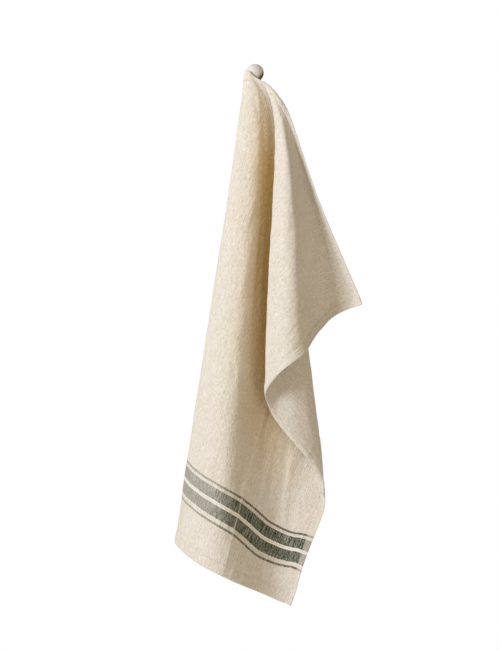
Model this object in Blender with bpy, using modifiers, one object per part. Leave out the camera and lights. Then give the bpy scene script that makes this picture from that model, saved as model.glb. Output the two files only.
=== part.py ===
"""Tea towel hung by its top hem on a turned wall peg.

One length of linen cloth, 50 x 70 cm, hangs from a wooden peg. Its top hem passes in front of the
peg's rounded head, turns round the left of it and lies along the neck, with a narrow margin over
the neck. From there the cloth falls in pleats: a flap at the front right, a layer folded back
behind it, the broad front panel with one deep valley, and a strip that turns back behind the
front panel towards the wall.

Frame: the origin is the middle of the peg's back face, where it meets the wall. The wall is the
plane Y = 0, the peg sticks out along -Y, and Z is up. The tables are in millimetres.
"""

from collections import namedtuple
import math

import bpy
import numpy as np

MM = 0.001

# The cloth. Places on it are told by `start`, the distance along the top hem from its right corner,
# and by a ray that leaves the hem there. An angle of 0 runs along the hem towards the right corner,
# and an angle of 90 runs straight down the cloth.
CLOTH_WIDTH = 500.0
CLOTH_LENGTH = 700.0
CLOTH_THICKNESS = 1.0
STEPS_DOWN = 38            # cells along each ray, short ones near the peg
STEP_GROWTH = 3.3          # how much longer they get towards the lower edge, as a natural log

# The peg, turned in one piece.
PEG_SIDES = 32
FOOT_RADIUS = 11.0
FOOT_THICKNESS = 7.0
FOOT_EDGE = 1.5            # rounding of the foot's front edge
NECK_RADIUS = 5.0
FOOT_COVE = 5.0            # hollow curve from the neck out to the foot
HEAD_RADIUS = 13.0
HEAD_WIDEST = 86.0         # from the wall
HEAD_DOME = 10.0           # from the widest place to the front
HEAD_BACK = 6.0            # from the widest place to the back, where the neck starts
NECK_RING = 39.2           # an edge round the neck, so that its long faces aren't too slim

# Where the hem turns over the neck, its middle runs on a circle this far from the neck's axis.
NECK_CLEARANCE = 0.6
NECK_WRAP = NECK_RADIUS + NECK_CLEARANCE + CLOTH_THICKNESS / 2
WRAP_TURN = math.radians(160)      # past this the margin hangs nearly straight down
MARGIN_SLOPE = 0.35                # sideways for each millimetre of that hanging margin

# Rays are smooth curves through four distances from the hem. The scale makes them bend most near
# the peg and run nearly straight lower down.
RAY_DISTANCES = (0.0, 60.0, 340.0, 740.0)
RAY_SCALE = 120.0
MAX_SIDEWAYS = 0.98        # the most that a ray leans, as a share of its length

# The ray to the lower right corner of the cloth.
CORNER_START = 393.5
CORNER_ANGLE = math.degrees(math.atan2(CLOTH_LENGTH, CORNER_START))
CORNER_DRAWN = 5.0         # how far its hems draw that corner in
CORNER_SPREAD = 1.5        # degrees

# A row for each ray that shapes a fold, from the flap's free edge round to the hidden left edge.
# X and Y are given at 60, 340 and 740 mm along the ray, and Z follows from the cloth's own length.
# `strips` is the number of strips of cells between this ray and the next.
Ray = namedtuple("Ray", "name start angle x60 x340 x740 y60 y340 y740 strips")
RAYS = [
    Ray("flap hem",     360.0,  0.0,   48.2,  153.5,  306.0, -114.0,  -96.0, -116.0, 2),
    Ray("flap right",   362.8,  6.0,   46.0,  123.0,  230.0, -114.0,  -83.0,  -96.0, 1),
    Ray("flap crease",  365.5, 10.0,   43.9,  102.0,  183.0, -114.4,  -76.0,  -84.0, 2),
    Ray("flap shade",   368.7, 16.0,   41.1,   87.0,  145.0, -115.8,  -90.0,  -92.0, 2),
    Ray("flap steep",   372.2, 23.0,   37.5,   72.0,  108.0, -117.5, -118.0, -122.0, 1),
    Ray("flap ridge",   375.5, 27.0,   34.5,   60.0,   80.0, -118.0, -138.0, -146.0, 1),
    Ray("flap front",   377.8, 30.0,   31.5,   43.0,   50.0, -116.5, -134.0, -146.0, 1),
    Ray("flap left",    379.4, 32.7,   29.0,   29.5,   30.0, -113.0, -120.0, -126.0, 1),
    Ray("flap edge",    380.5, 34.8,   27.5,   21.5,   22.0, -110.5, -108.0, -110.0, 1),
    Ray("first fold",   381.4, 36.4,   26.5,   18.0,   19.5, -107.0, -101.0, -103.0, 1),
    Ray("behind flap",  382.2, 38.2,   28.0,   21.0,   24.0, -104.0,  -96.0,  -99.0, 1),
    Ray("inner left",   382.8, 42.0,   30.5,   31.0,   38.0, -100.0,  -87.0,  -92.0, 1),
    Ray("inner middle", 383.2, 46.5,   33.0,   50.0,   77.0,  -97.0,  -83.0,  -97.0, 1),
    Ray("inner right",  384.0, 50.0,   34.5,   65.5,  111.0,  -94.0,  -71.0,  -91.0, 2),
    Ray("second fold",  385.6, 52.6,   35.0,   71.0,  123.0,  -91.5,  -60.0,  -81.0, 2),
    Ray("behind inner", 388.4, 55.2,   33.5,   65.0,  103.0,  -90.0,  -54.0,  -78.0, 1),
    Ray("lower edge",   391.2, 58.0,   28.0,   49.0,   73.0,  -91.0,  -57.0,  -77.0, 1),
    Ray("lower corner", CORNER_START, CORNER_ANGLE,
                           22.5,   35.0,   50.0,  -93.0,  -59.0,  -72.0, 1),
    Ray("valley floor", 395.5, 62.8,   18.5,   23.0,   27.0,  -94.0,  -61.0,  -70.0, 2),
    Ray("valley side",  398.0, 67.0,   11.0,    2.0,  -17.0,  -99.0,  -82.0, -100.0, 2),
    Ray("ridge",        401.0, 70.5,    4.0,  -12.5,  -50.0, -102.5, -100.0, -119.0, 2),
    Ray("left panel",   406.0, 75.0,   -8.0,  -38.0,  -93.0,  -99.5,  -98.0,  -98.0, 2),
    Ray("left turn",    411.0, 79.0,  -16.0,  -57.0, -119.0,  -93.0,  -81.0,  -62.0, 1),
    Ray("left fold",    416.0, 81.0,  -19.0,  -64.0, -124.0,  -86.0,  -65.0,  -42.0, 1),
    Ray("behind left",  424.0, 82.5,  -18.0,  -58.0, -112.0,  -74.0,  -46.0,  -26.0, 4),
    Ray("back panel",   443.0, 84.0,  -13.0,  -36.0,  -78.0,  -54.0,  -30.0,  -18.0, 4),
    Ray("back middle",  470.0, 87.0,  -11.0,    4.0,  -17.0,  -32.0,  -22.0,  -18.0, 2),
    Ray("back edge",    500.0, 90.0,   -9.0,   52.0,   50.0,  -14.0,  -20.0,  -26.0, 0),
]

# The hem's own path round the head and along the neck. `over` is how much cloth lies beyond the
# path, up over the neck.
Hem = namedtuple("Hem", "start x y z over")
HEM = [
    Hem(360,  17.0, -105.5, -14.0,  0),
    Hem(367,  13.0, -105.6, -11.3,  0),
    Hem(375,   8.2, -105.1,  -8.2,  0),
    Hem(383,   3.5, -103.0,  -5.3,  0),
    Hem(390,  -0.5, -100.0,  -2.7,  0),
    Hem(398,  -7.0,  -98.3,   0.3,  0),
    Hem(406, -13.0,  -95.5,   1.7,  0),
    Hem(414, -15.5,  -88.0,   1.6,  0),
    Hem(424, -13.0,  -78.5,   1.2,  0),
    Hem(436,  -8.0,  -69.0,   0.4,  5),
    Hem(448, -NECK_WRAP, -58.0, 0.0, 13),
    Hem(460, -NECK_WRAP, -47.0, 0.0, 20),
    Hem(475, -NECK_WRAP, -34.0, 0.0, 22),
    Hem(500, -NECK_WRAP, -13.0, 0.0, 22),
]


def spline_through(places, rows):
    """A smooth curve through rows of numbers at the given places, as a function of the place."""
    places = np.array(places, float)
    rows = np.array(rows, float)
    gaps = np.diff(places)
    slopes = np.diff(rows, axis=0) / gaps[:, None]
    matrix = np.eye(len(places))
    right_side = np.zeros_like(rows)
    for i in range(1, len(places) - 1):
        matrix[i, i - 1:i + 2] = gaps[i - 1], 2 * (gaps[i - 1] + gaps[i]), gaps[i]
        right_side[i] = 6 * (slopes[i] - slopes[i - 1])
    bends = np.linalg.solve(matrix, right_side)

    def at(place):
        i = int(np.clip(np.searchsorted(places, place, side="right") - 1, 0, len(gaps) - 1))
        along = place - places[i]
        rise = slopes[i] - gaps[i] * (2 * bends[i] + bends[i + 1]) / 6
        return (rows[i] + along * rise + along ** 2 * bends[i] / 2
                + along ** 3 * (bends[i + 1] - bends[i]) / (6 * gaps[i]))

    return at


def ray_places():
    """Where each table ray lies along the section that cuts all folds at RAY_DISTANCES[2]."""
    angles = np.radians([ray.angle for ray in RAYS])
    across = np.array([ray.start for ray in RAYS]) - RAY_DISTANCES[2] * np.cos(angles)
    down = RAY_DISTANCES[2] * np.sin(angles)
    steps = np.hypot(np.diff(across), np.diff(down))
    return np.concatenate([[0.0], np.cumsum(steps)])


def curve_weights(distances):
    """How much each of the RAY_DISTANCES counts at each distance: a cubic on a log scale."""
    knots = np.log1p(np.array(RAY_DISTANCES) / RAY_SCALE)
    places = np.log1p(distances / RAY_SCALE)
    weights = np.ones((len(places), len(knots)))
    for j, knot in enumerate(knots):
        for k, other in enumerate(knots):
            if k != j:
                weights[:, j] *= (places - other) / (knot - other)
    return weights


def ray_points(ray, hem, distances):
    """Points at the given cloth distances along one ray.

    ray holds start, angle and the X and Y values of a Ray, hem the x, y, z and over of a Hem. The
    first `over` millimetres lie over the neck, and the rest falls with its own length kept.
    """
    hem_x, hem_y, hem_z, over = hem
    over = max(over, 0.0)
    wrap = max(-hem_x, NECK_WRAP)
    fine = np.linspace(0.0, distances[-1], 400)
    weights = curve_weights(fine)
    x = weights @ np.array([hem_x, *ray[2:5]])
    y = weights @ np.array([hem_y, *ray[5:8]])
    step = fine[1] - fine[0]
    sideways = np.minimum(np.hypot(np.diff(x), np.diff(y)), MAX_SIDEWAYS * step)
    drop = np.concatenate([[0.0], np.cumsum(np.sqrt(step ** 2 - sideways ** 2))])
    points = []
    for distance in distances - over:
        if distance >= 0:
            points.append((np.interp(distance, fine, x), np.interp(distance, fine, y),
                           hem_z - np.interp(distance, fine, drop)))
        else:
            turn = min(-distance / wrap, WRAP_TURN)
            hanging = -distance - turn * wrap
            points.append((hem_x + wrap * (1 - math.cos(turn)) + MARGIN_SLOPE * hanging, hem_y,
                           hem_z + wrap * math.sin(turn)
                           - math.sqrt(1 - MARGIN_SLOPE ** 2) * hanging))
    return points


def ray_length(start, angle):
    """From the hem to the edge that the ray meets: the right long edge or the bottom hem."""
    down = math.sin(math.radians(angle))
    across = math.cos(math.radians(angle))
    to_bottom = CLOTH_LENGTH / down if down > 0 else math.inf
    to_right = start / across if across > 1e-9 else math.inf
    drawn = CORNER_DRAWN * math.exp(-((angle - CORNER_ANGLE) / CORNER_SPREAD) ** 2)
    return min(to_bottom, to_right) - drawn


def towel_mesh():
    """The middle surface of the hanging cloth: rays side by side, each with the same steps."""
    places = ray_places()
    ray_at = spline_through(places, [ray[1:9] for ray in RAYS])
    hem_at = spline_through([hem.start for hem in HEM], [hem[1:] for hem in HEM])
    cuts = []
    for ray, place, following in zip(RAYS, places, places[1:]):
        cuts.extend(np.linspace(place, following, ray.strips, endpoint=False))
    cuts.append(places[-1])

    growth = np.linspace(0.0, STEP_GROWTH, STEPS_DOWN + 1)
    shares = np.expm1(growth) / math.expm1(STEP_GROWTH)
    points = []
    for cut in cuts:
        ray = ray_at(cut)
        distances = shares * ray_length(ray[0], ray[1])
        points.extend(ray_points(ray, hem_at(ray[0]), distances))

    faces = []
    row = STEPS_DOWN + 1
    for i in range(len(cuts) - 1):
        for j in range(STEPS_DOWN):
            corner = i * row + j
            faces.append((corner, corner + 1, corner + row + 1, corner + row))
    mesh = bpy.data.meshes.new("towel")
    mesh.from_pydata([(x * MM, y * MM, z * MM) for x, y, z in points], [], faces)
    mesh.shade_smooth()
    return mesh


def quarter_arc(centre_x, centre_z, radius_x, radius_z, first, last, count):
    """Points on an ellipse from the first to the last angle, both in degrees."""
    angles = np.radians(np.linspace(first, last, count))
    return [(centre_x + radius_x * math.cos(a), centre_z + radius_z * math.sin(a)) for a in angles]


def peg_profile():
    """The peg's outline from the front of its head down to the wall, as (radius, height)."""
    outline = quarter_arc(0.0, HEAD_WIDEST, HEAD_RADIUS, HEAD_DOME, 90, 0, 9)
    back = HEAD_RADIUS - NECK_RADIUS
    outline += quarter_arc(NECK_RADIUS, HEAD_WIDEST, back, HEAD_BACK, 0, -90, 7)[1:]
    cove_top = FOOT_THICKNESS + FOOT_COVE
    outline += [(NECK_RADIUS, NECK_RING), (NECK_RADIUS, cove_top)]
    outline += quarter_arc(NECK_RADIUS + FOOT_COVE, cove_top, FOOT_COVE, FOOT_COVE, 180, 270, 5)[1:]
    outline += quarter_arc(FOOT_RADIUS - FOOT_EDGE, FOOT_THICKNESS - FOOT_EDGE,
                           FOOT_EDGE, FOOT_EDGE, 90, 0, 3)
    outline += [(FOOT_RADIUS, 0.0), (0.0, 0.0)]
    return outline


def add_material(obj, name, colour, roughness):
    """A plain Principled material in the part's own colour."""
    material = bpy.data.materials.new(name)
    material.use_nodes = True
    shader = material.node_tree.nodes["Principled BSDF"]
    shader.inputs["Base Color"].default_value = (*colour, 1.0)
    shader.inputs["Roughness"].default_value = roughness
    shader.inputs["Metallic"].default_value = 0.0
    obj.data.materials.append(material)


def add_towel(collection):
    """The cloth: the middle surface given its thickness half to each side."""
    towel = bpy.data.objects.new("towel", towel_mesh())
    collection.objects.link(towel)
    solid = towel.modifiers.new("cloth thickness", "SOLIDIFY")
    solid.thickness = CLOTH_THICKNESS * MM
    solid.offset = 0.0
    solid.use_even_offset = False
    add_material(towel, "natural linen", (0.74, 0.68, 0.58), 0.9)
    return towel


def add_peg(collection):
    """The peg: its outline turned round the axis, then laid with its head away from the wall."""
    outline = peg_profile()
    mesh = bpy.data.meshes.new("peg")
    edges = [(i, i + 1) for i in range(len(outline) - 1)]
    mesh.from_pydata([(x * MM, 0.0, z * MM) for x, z in outline], edges, [])
    peg = bpy.data.objects.new("peg", mesh)
    collection.objects.link(peg)
    turn = peg.modifiers.new("turned", "SCREW")
    turn.steps = PEG_SIDES
    turn.render_steps = PEG_SIDES
    turn.use_merge_vertices = True
    turn.merge_threshold = 0.00001
    turn.use_smooth_shade = True
    peg.rotation_euler = (math.radians(90), 0.0, 0.0)
    add_material(peg, "painted wood", (0.75, 0.70, 0.63), 0.5)
    return peg


def main():
    for obj in list(bpy.data.objects):
        bpy.data.objects.remove(obj, do_unlink=True)
    collection = bpy.data.collections.new("tea towel on a wall peg")
    bpy.context.scene.collection.children.link(collection)
    add_peg(collection)
    add_towel(collection)


main()
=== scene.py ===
"""The looks of a linen tea towel hung from a turned wall peg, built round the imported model.

The sizes of the peg and the towel are in millimetres and become metres where a mesh or a material is
made. Those of the room are in metres.
"""

from collections import namedtuple
import math

import bpy
import numpy as np
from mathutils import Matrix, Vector, noise


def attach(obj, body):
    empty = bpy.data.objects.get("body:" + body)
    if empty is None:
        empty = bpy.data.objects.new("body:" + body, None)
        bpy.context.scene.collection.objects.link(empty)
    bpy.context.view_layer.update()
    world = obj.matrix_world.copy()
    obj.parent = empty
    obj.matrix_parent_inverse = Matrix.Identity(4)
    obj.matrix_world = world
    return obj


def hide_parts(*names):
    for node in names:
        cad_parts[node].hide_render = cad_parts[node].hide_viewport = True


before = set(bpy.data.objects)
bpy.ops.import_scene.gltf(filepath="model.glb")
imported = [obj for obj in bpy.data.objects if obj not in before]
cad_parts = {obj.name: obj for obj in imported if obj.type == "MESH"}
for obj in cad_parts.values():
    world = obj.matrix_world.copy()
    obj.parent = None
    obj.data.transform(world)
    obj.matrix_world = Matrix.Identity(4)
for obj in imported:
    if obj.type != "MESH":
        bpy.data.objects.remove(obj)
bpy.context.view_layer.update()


# ---------------------------------------------------------------------------------------------
# The room. White all round, for photographs, with a pale painted floor 1.35 m below the peg. The
# camera sees plain white, and the towel gets the warm light that such a room throws back.
# ---------------------------------------------------------------------------------------------

def linear(hex_colour):
    """sRGB hex, such as "e8e0d4", to the linear red, green, blue and alpha that the nodes take."""
    channels = [int(hex_colour[i:i + 2], 16) / 255 for i in (0, 2, 4)]
    return tuple(c / 12.92 if c <= 0.04045 else ((c + 0.055) / 1.055) ** 2.4 for c in channels) + (1.0,)


def add_node(material, kind, links=None, **settings):
    """Adds a node to a material or world. settings set its properties, and its inputs where the name
    is one of them ("Scale", or a number as "_0"). links maps an input to the output that feeds it."""
    node = material.node_tree.nodes.new(kind)
    for name, value in settings.items():
        if name.startswith("_"):
            node.inputs[int(name[1:])].default_value = value
        elif name in node.inputs:
            node.inputs[name].default_value = value
        else:
            setattr(node, name, value)
    for name, source in (links or {}).items():
        material.node_tree.links.new(source, node.inputs[name])
    return node


FLOOR_BELOW = 1.35
FLOOR_RADIUS = 1.9

room = bpy.data.worlds.new("white room")
room.use_nodes = True
room.node_tree.nodes.clear()
plain_white = add_node(room, "ShaderNodeBackground", Color=linear("ffffff"), Strength=1.0)
room_light = add_node(room, "ShaderNodeBackground", Color=linear("ffe8c4"), Strength=0.38)
seen = add_node(room, "ShaderNodeLightPath")
choose = add_node(room, "ShaderNodeMixShader", links={0: seen.outputs["Is Camera Ray"],
                                                      1: room_light.outputs[0],
                                                      2: plain_white.outputs[0]})
add_node(room, "ShaderNodeOutputWorld", links={"Surface": choose.outputs[0]})
bpy.context.scene.world = room

bpy.ops.mesh.primitive_circle_add(vertices=128, radius=FLOOR_RADIUS, fill_type="NGON",
                                  location=(0.0, 0.0, -FLOOR_BELOW))
floor = bpy.context.object
floor.name = "floor"
floor_paint = bpy.data.materials.new("pale floor paint")
floor_paint.use_nodes = True
floor_paint.node_tree.nodes["Principled BSDF"].inputs["Base Color"].default_value = linear("e9e8e6")
floor_paint.node_tree.nodes["Principled BSDF"].inputs["Roughness"].default_value = 0.7
floor.data.materials.append(floor_paint)


def add_softbox(name, place, aim, size, power, colour):
    """A rectangular lamp at `place`, turned to `aim`."""
    lamp = bpy.data.lights.new(name, "AREA")
    lamp.shape = "RECTANGLE"
    lamp.size, lamp.size_y = size
    lamp.energy = power
    lamp.color = linear(colour)[:3]
    holder = bpy.data.objects.new(name, lamp)
    holder.location = place
    holder.rotation_euler = (Vector(aim) - Vector(place)).to_track_quat("-Z", "Y").to_euler()
    bpy.context.scene.collection.objects.link(holder)


# Daylight from a window at the upper left, and a weak reflector low at the right.
add_softbox("window", place=(-1.8, -1.35, 0.32), aim=(0.0, -0.05, -0.45), size=(0.8, 1.1),
            power=42.3, colour="f0f4fa")
add_softbox("reflector", place=(0.95, -1.3, -1.0), aim=(0.0, -0.05, -0.6), size=(0.8, 0.9),
            power=3.0, colour="fff6ea")

# The camera stands level, 2 m in front of the cloth and about halfway down it. Its picture is
# 958.75 mm high where the cloth hangs.
CAMERA_DISTANCE = 2.0
CAMERA_RIGHT, CAMERA_UP = -0.0074, -0.3726
PICTURE_HEIGHT = 0.95875
CLOTH_PLANE = -0.090
SENSOR_SIZE = 36.0
camera_data = bpy.data.cameras.new("camera")
camera_data.sensor_width = SENSOR_SIZE
camera_data.lens = SENSOR_SIZE * CAMERA_DISTANCE / PICTURE_HEIGHT
camera = bpy.data.objects.new("camera", camera_data)
camera.location = (CAMERA_RIGHT, CLOTH_PLANE - CAMERA_DISTANCE, CAMERA_UP)
camera.rotation_euler = (math.radians(90), 0.0, 0.0)
bpy.context.scene.collection.objects.link(camera)
bpy.context.scene.camera = camera
bpy.context.scene.view_settings.view_transform = "Standard"


# ---------------------------------------------------------------------------------------------
# The peg. Turned from one piece of wood on a lathe, with a round foot, a slim neck and a rounded
# head, then sanded and painted off-white. Its foot is flat at the back. No dowel or screw is made.
# ---------------------------------------------------------------------------------------------

MM = 0.001
PEG_SIDES = 96
FOOT_RADIUS = 11.0
FOOT_THICKNESS = 7.0
FOOT_EDGE = 1.5
FOOT_COVE = 5.0            # the hollow curve between the foot and the neck
NECK_RADIUS = 5.0
NECK_RINGS = (60.0, 35.0)  # from the foot's flat back, rings of points along the straight neck
HEAD_RADIUS = 13.0
HEAD_WIDEST = 86.0         # from the foot's flat back
HEAD_DOME = 10.0           # from there to the front
HEAD_BACK = 6.0            # and to the neck
SHARP_ANGLE = 40           # edges sharper than this many degrees stay sharp
WEAR_PATCH = 11.11         # how wide the greyer patches in the paint are
LATHE_RING = 1.366         # from ring to ring: three times as coarse as real, to show at all
RING_DEPTH = 0.2
WAVE_REPEAT = 2 * math.pi / 20     # metres after which a wave texture of scale 1 repeats
SHADE_PAINTED_TOWARDS = (0.8, -0.6)       # the way from the peg's axis to the side where dark shade is painted, in X and Z
SHADE_PAINTED_FROM, SHADE_PAINTED_TO = 6.5, 12.0     # how far out the painted shade starts and is full


def elliptic_arc(centre, radii, first, last, count):
    """Points (radius, height) on an ellipse between two angles in degrees."""
    angles = np.radians(np.linspace(first, last, count))
    return [(centre[0] + radii[0] * math.cos(a), centre[1] + radii[1] * math.sin(a)) for a in angles]


def peg_outline():
    """The peg's outline (radius, height), from the tip of the head to the middle of the flat back."""
    cove_top = FOOT_THICKNESS + FOOT_COVE
    outline = elliptic_arc((0.0, HEAD_WIDEST), (HEAD_RADIUS, HEAD_DOME), 90, 0, count=24)
    outline += elliptic_arc((NECK_RADIUS, HEAD_WIDEST), (HEAD_RADIUS - NECK_RADIUS, HEAD_BACK),
                            0, -90, count=14)[1:]
    outline += [(NECK_RADIUS, height) for height in NECK_RINGS]
    outline += elliptic_arc((NECK_RADIUS + FOOT_COVE, cove_top), (FOOT_COVE, FOOT_COVE),
                            180, 270, count=10)
    outline += elliptic_arc((FOOT_RADIUS - FOOT_EDGE, FOOT_THICKNESS - FOOT_EDGE),
                            (FOOT_EDGE, FOOT_EDGE), 90, 0, count=6)
    outline += [(FOOT_RADIUS, 0.0), (0.0, 0.0)]
    return outline


def painted_wood():
    """Turned beech under two thin coats of satin paint: off-white, with a soft highlight, faint
    rings from the lathe and patches a shade greyer where hands and cloth have rubbed it. Dark shade
    is painted on the lower right of the head."""
    material = bpy.data.materials.new("painted turned wood")
    material.use_nodes = True
    shader = material.node_tree.nodes["Principled BSDF"]
    shader.inputs["Roughness"].default_value = 0.42
    place = add_node(material, "ShaderNodeTexCoord")
    wear = add_node(material, "ShaderNodeTexNoise", links={"Vector": place.outputs["Object"]},
                    Scale=1 / (WEAR_PATCH * MM), Detail=3.0)
    paint = add_node(material, "ShaderNodeValToRGB", links={"Fac": wear.outputs["Fac"]})
    greyer, whiter = paint.color_ramp.elements
    greyer.position, greyer.color = 0.3, linear("e9e8e6")
    whiter.position, whiter.color = 0.7, linear("f6f5f4")
    # Painted shade: the lower right of the head, under the hanging hem, is painted dark brown.
    apart = add_node(material, "ShaderNodeSeparateXYZ", links={"Vector": place.outputs["Object"]})
    rightwards = add_node(material, "ShaderNodeMath", operation="MULTIPLY",
                          links={0: apart.outputs["X"]}, _1=SHADE_PAINTED_TOWARDS[0])
    towards = add_node(material, "ShaderNodeMath", operation="MULTIPLY_ADD",
                       links={0: apart.outputs["Z"], 2: rightwards.outputs[0]}, _1=SHADE_PAINTED_TOWARDS[1])
    shade_painted = add_node(material, "ShaderNodeMapRange", links={"Value": towards.outputs[0]},
                    interpolation_type="SMOOTHSTEP",
                    **{"From Min": SHADE_PAINTED_FROM * MM, "From Max": SHADE_PAINTED_TO * MM})
    with_painted_light = add_node(material, "ShaderNodeMix", data_type="RGBA",
                    links={0: shade_painted.outputs["Result"], 6: paint.outputs["Color"]}, _7=linear("5c4a26"))
    material.node_tree.links.new(with_painted_light.outputs[2], shader.inputs["Base Color"])
    rings = add_node(material, "ShaderNodeTexWave", links={"Vector": place.outputs["Object"]},
                     bands_direction="Y", Scale=WAVE_REPEAT / (LATHE_RING * MM), Distortion=1.0)
    bump = add_node(material, "ShaderNodeBump", links={"Height": rings.outputs["Fac"]},
                    Strength=0.12, Distance=RING_DEPTH * MM)
    material.node_tree.links.new(bump.outputs["Normal"], shader.inputs["Normal"])
    return material


outline = peg_outline()
ring = [(math.cos(a), math.sin(a)) for a in np.linspace(0, 2 * math.pi, PEG_SIDES, endpoint=False)]
points = []
faces = []
for radius, height in outline[1:-1]:
    points.extend((radius * x * MM, -height * MM, radius * z * MM) for x, z in ring)
for i in range(len(outline) - 3):
    for j in range(PEG_SIDES):
        a, b = i * PEG_SIDES + j, i * PEG_SIDES + (j + 1) % PEG_SIDES
        faces.append((a, b, b + PEG_SIDES, a + PEG_SIDES))
tip, back = len(points), len(points) + 1
points.append((0.0, -outline[0][1] * MM, 0.0))
points.append((0.0, 0.0, 0.0))
last_ring = (len(outline) - 3) * PEG_SIDES
for j in range(PEG_SIDES):
    following = (j + 1) % PEG_SIDES
    faces.append((tip, following, j))
    faces.append((back, last_ring + j, last_ring + following))
peg_mesh = bpy.data.meshes.new("turned_peg")
peg_mesh.from_pydata(points, [], faces)
peg_mesh.shade_smooth()
peg_mesh.set_sharp_from_angle(angle=math.radians(SHARP_ANGLE))
turned_peg = bpy.data.objects.new("turned_peg", peg_mesh)
bpy.context.scene.collection.objects.link(turned_peg)
peg_mesh.materials.append(painted_wood())
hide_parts("peg")
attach(turned_peg, "root")


# ---------------------------------------------------------------------------------------------
# The towel. One length of undyed linen in plain weave, 50 x 70 cm, with all four edges turned over
# twice and stitched, and a woven band near one short edge. It hangs by its top hem, which passes in
# front of the peg's head, round the left of it and back along the neck.
# ---------------------------------------------------------------------------------------------

CLOTH_WIDTH = 500.0
CLOTH_LENGTH = 700.0
CLOTH_THICKNESS = 0.8
SHORT_HEM = 16.0           # width of the hems along the two short edges
SIDE_HEM = 11.0            # and along the two long edges
STITCH_IN = 1.5            # the seam from the hem's inner edge

# Places on the cloth are told in the flat: `u` runs along the top hem from its right corner, and `v`
# down the cloth. A ray leaves the top hem at `start`, at `angle` degrees below the hem's direction
# towards the right corner. X and Y are given at 60, 340 and 740 mm along the ray, and Z follows
# from the cloth's own length.
Ray = namedtuple("Ray", "name start angle x60 x340 x740 y60 y340 y740")
CORNER_START = 393.5       # where the ray to the lower right corner leaves the top hem
CORNER_ANGLE = math.degrees(math.atan2(CLOTH_LENGTH, CORNER_START))
RAYS = [
    Ray("flap hem",     360.0,  0.0,   48.2,  153.5,  306.0, -115.6,  -96.0, -116.0),
    Ray("flap right",   362.8,  6.0,   46.0,  123.0,  230.0, -115.8,  -77.5,  -87.0),
    Ray("flap crease",  365.5, 10.0,   43.9,  102.0,  183.0, -116.0,  -76.0,  -84.0),
    Ray("flap shade",   368.7, 16.0,   41.1,   87.0,  145.0, -116.8,  -90.0,  -92.0),
    Ray("flap steep",   372.2, 23.0,   37.5,   72.0,  108.0, -117.5, -118.0, -122.0),
    Ray("flap ridge",   375.5, 27.0,   34.5,   60.0,   80.0, -118.0, -134.5, -141.0),
    Ray("flap front",   377.8, 30.0,   31.5,   43.0,   50.0, -116.5, -133.5, -144.5),
    Ray("flap left",    379.4, 32.7,   29.0,   29.5,   30.0, -113.0, -120.0, -126.0),
    Ray("flap edge",    380.5, 34.8,   27.5,   21.5,   22.0, -110.5, -108.0, -110.0),
    Ray("first fold",   381.4, 36.4,   26.5,   18.0,   19.5, -107.0, -101.0, -103.0),
    Ray("behind flap",  382.2, 38.2,   28.0,   21.0,   24.0, -104.0,  -96.0,  -99.0),
    Ray("inner left",   382.8, 42.0,   30.5,   31.0,   38.0, -100.0,  -87.0,  -92.0),
    Ray("inner middle", 383.2, 46.5,   33.0,   50.0,   77.0,  -97.0,  -83.0,  -97.0),
    Ray("inner right",  384.0, 50.0,   34.5,   65.5,  111.0,  -94.0,  -71.0,  -91.0),
    Ray("second fold",  385.6, 52.6,   35.0,   71.0,  123.0,  -91.5,  -60.0,  -81.0),
    Ray("behind inner", 388.4, 55.2,   33.5,   65.0,  103.0,  -90.0,  -54.0,  -78.0),
    Ray("lower edge",   391.2, 58.0,   28.0,   49.0,   73.0,  -91.0,  -57.0,  -77.0),
    Ray("lower corner", CORNER_START, CORNER_ANGLE,
                           22.5,   35.0,   50.0,  -93.0,  -62.5,  -72.0),
    Ray("valley floor", 395.5, 62.8,   18.5,   23.0,   27.0,  -94.0,  -67.0,  -70.0),
    Ray("valley side",  398.0, 67.0,   11.0,    2.0,  -17.0,  -99.0,  -82.0, -100.0),
    Ray("ridge",        401.0, 70.5,    4.0,  -12.5,  -50.0, -102.5, -100.0, -119.0),
    Ray("left panel",   406.0, 75.0,   -9.0,  -38.0,  -93.0,  -99.5,  -98.0,  -98.0),
    Ray("left turn",    411.0, 79.0,  -18.5,  -57.0, -119.0,  -93.0,  -81.0,  -62.0),
    Ray("left fold",    416.0, 81.0,  -22.0,  -64.0, -124.0,  -86.0,  -65.0,  -42.0),
    Ray("behind left",  424.0, 82.5,  -19.5,  -58.0, -112.0,  -74.0,  -46.0,  -26.0),
    Ray("back panel",   443.0, 84.0,  -13.0,  -36.0,  -78.0,  -54.0,  -30.0,  -18.0),
    Ray("back middle",  470.0, 87.0,  -11.0,    4.0,  -17.0,  -32.0,  -22.0,  -18.0),
    Ray("back edge",    500.0, 90.0,   -9.0,   52.0,   50.0,  -14.0,  -20.0,  -26.0),
]
RAY_DISTANCES = (0.0, 60.0, 340.0, 740.0)
RAY_SCALE = 120.0          # distances count as log(1 + distance / RAY_SCALE), finer near the peg
FINE_RAYS = 3000           # rays between the named ones, in which places are looked up
NEAREST_ROW = 0.01         # the top edge is looked up this far down, where rays reach all of it
DROP_STEPS = 61            # places along a ray between which its drop is added up
DROP_POWER = 1.5           # by which they lie closer together near the hem
MAX_SIDEWAYS = 0.98        # the most that the cloth leads sideways, as a share of its length
CORNER_DRAWN = 5.0         # how far the hems draw the lower right corner in
CORNER_SPREAD = 20.0
EDGE_EASED = 6.0           # how far the right hem, the flap's lower edge, has given,
EDGE_EASED_V = 80.0        # round this place on it,
EDGE_EASED_ALONG = 30.0    # this far each way
EDGE_EASED_REACH = 60.0    # and this far into the cloth
HEM_SAG = 6.2              # how far the top hem sags beside the peg
HEM_SAG_ACROSS = (285.0, 355.0, 403.0)   # where the sag starts, is full and is over
HEM_SAG_ENDS_IN = 14.0     # the stretch in which it ends
HEM_SAG_REACH = 28.0       # down the cloth

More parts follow.
